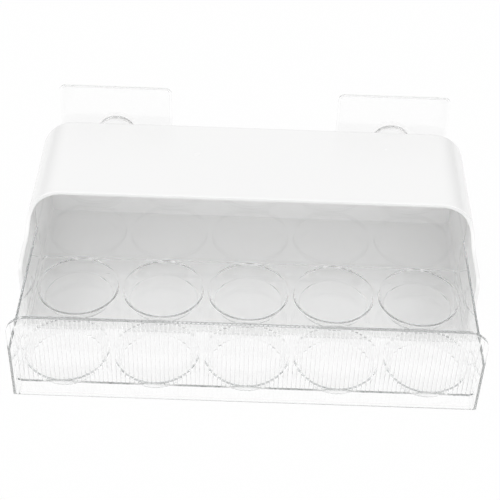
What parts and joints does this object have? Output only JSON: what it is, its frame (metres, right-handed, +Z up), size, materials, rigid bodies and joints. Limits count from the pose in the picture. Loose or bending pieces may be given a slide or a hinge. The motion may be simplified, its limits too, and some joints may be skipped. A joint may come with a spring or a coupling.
{
  "type": "wall-mounted egg drawer box",
  "caption": "Wall-mounted egg box: a white open-fronted shell with rounded shoulders, a clear fluted drawer with a lift-out egg tray, and stick-on hook plates.",
  "frame": {"origin": "centre of the shell's underside", "axes": "+Z up, +X along the width to the right, the drawer pulls out along -Y and the wall is on the +Y side"},
  "size_m": [0.2754, 0.1795, 0.1014],
  "materials": {
    "shell_white": "glossy white moulded plastic",
    "drawer_clear": "clear moulded polystyrene",
    "tray_clear": "clear moulded polystyrene",
    "stud_clear": "clear moulded plastic",
    "sheet_clear": "thin clear plastic sheet",
    "film_clear": "clear acrylic adhesive film"
  },
  "bodies": {
    "housing": {"housing_shell": "shell_white"},
    "drawer": {"drawer_body": "drawer_clear"},
    "tray": {"egg_tray": "tray_clear"},
    "hook_left": {"hook_stud_left": "stud_clear", "hook_sheet_left": "sheet_clear", "adhesive_film_left": "film_clear"},
    "hook_right": {"hook_stud_right": "stud_clear", "hook_sheet_right": "sheet_clear", "adhesive_film_right": "film_clear"}
  },
  "joints": [
    {"name": "drawer_slide", "type": "slide", "parent": "housing", "child": "drawer", "axis": [0, -1, 0], "range_m": [-0.0594, 0.052]},
    {"name": "tray_lift", "type": "slide", "parent": "drawer", "child": "tray", "axis": [0, 0, 1], "range_m": [0, 0.04]},
    {"name": "hook_left_release", "type": "slide", "parent": "housing", "child": "hook_left", "axis": [0, 0, -1], "range_m": [0, 0.01]},
    {"name": "hook_right_release", "type": "slide", "parent": "housing", "child": "hook_right", "axis": [0, 0, -1], "range_m": [0, 0.01]}
  ],
  "couplings": [
    {"joint": "hook_right_release", "follows": "hook_left_release", "ratio": 1}
  ]
}
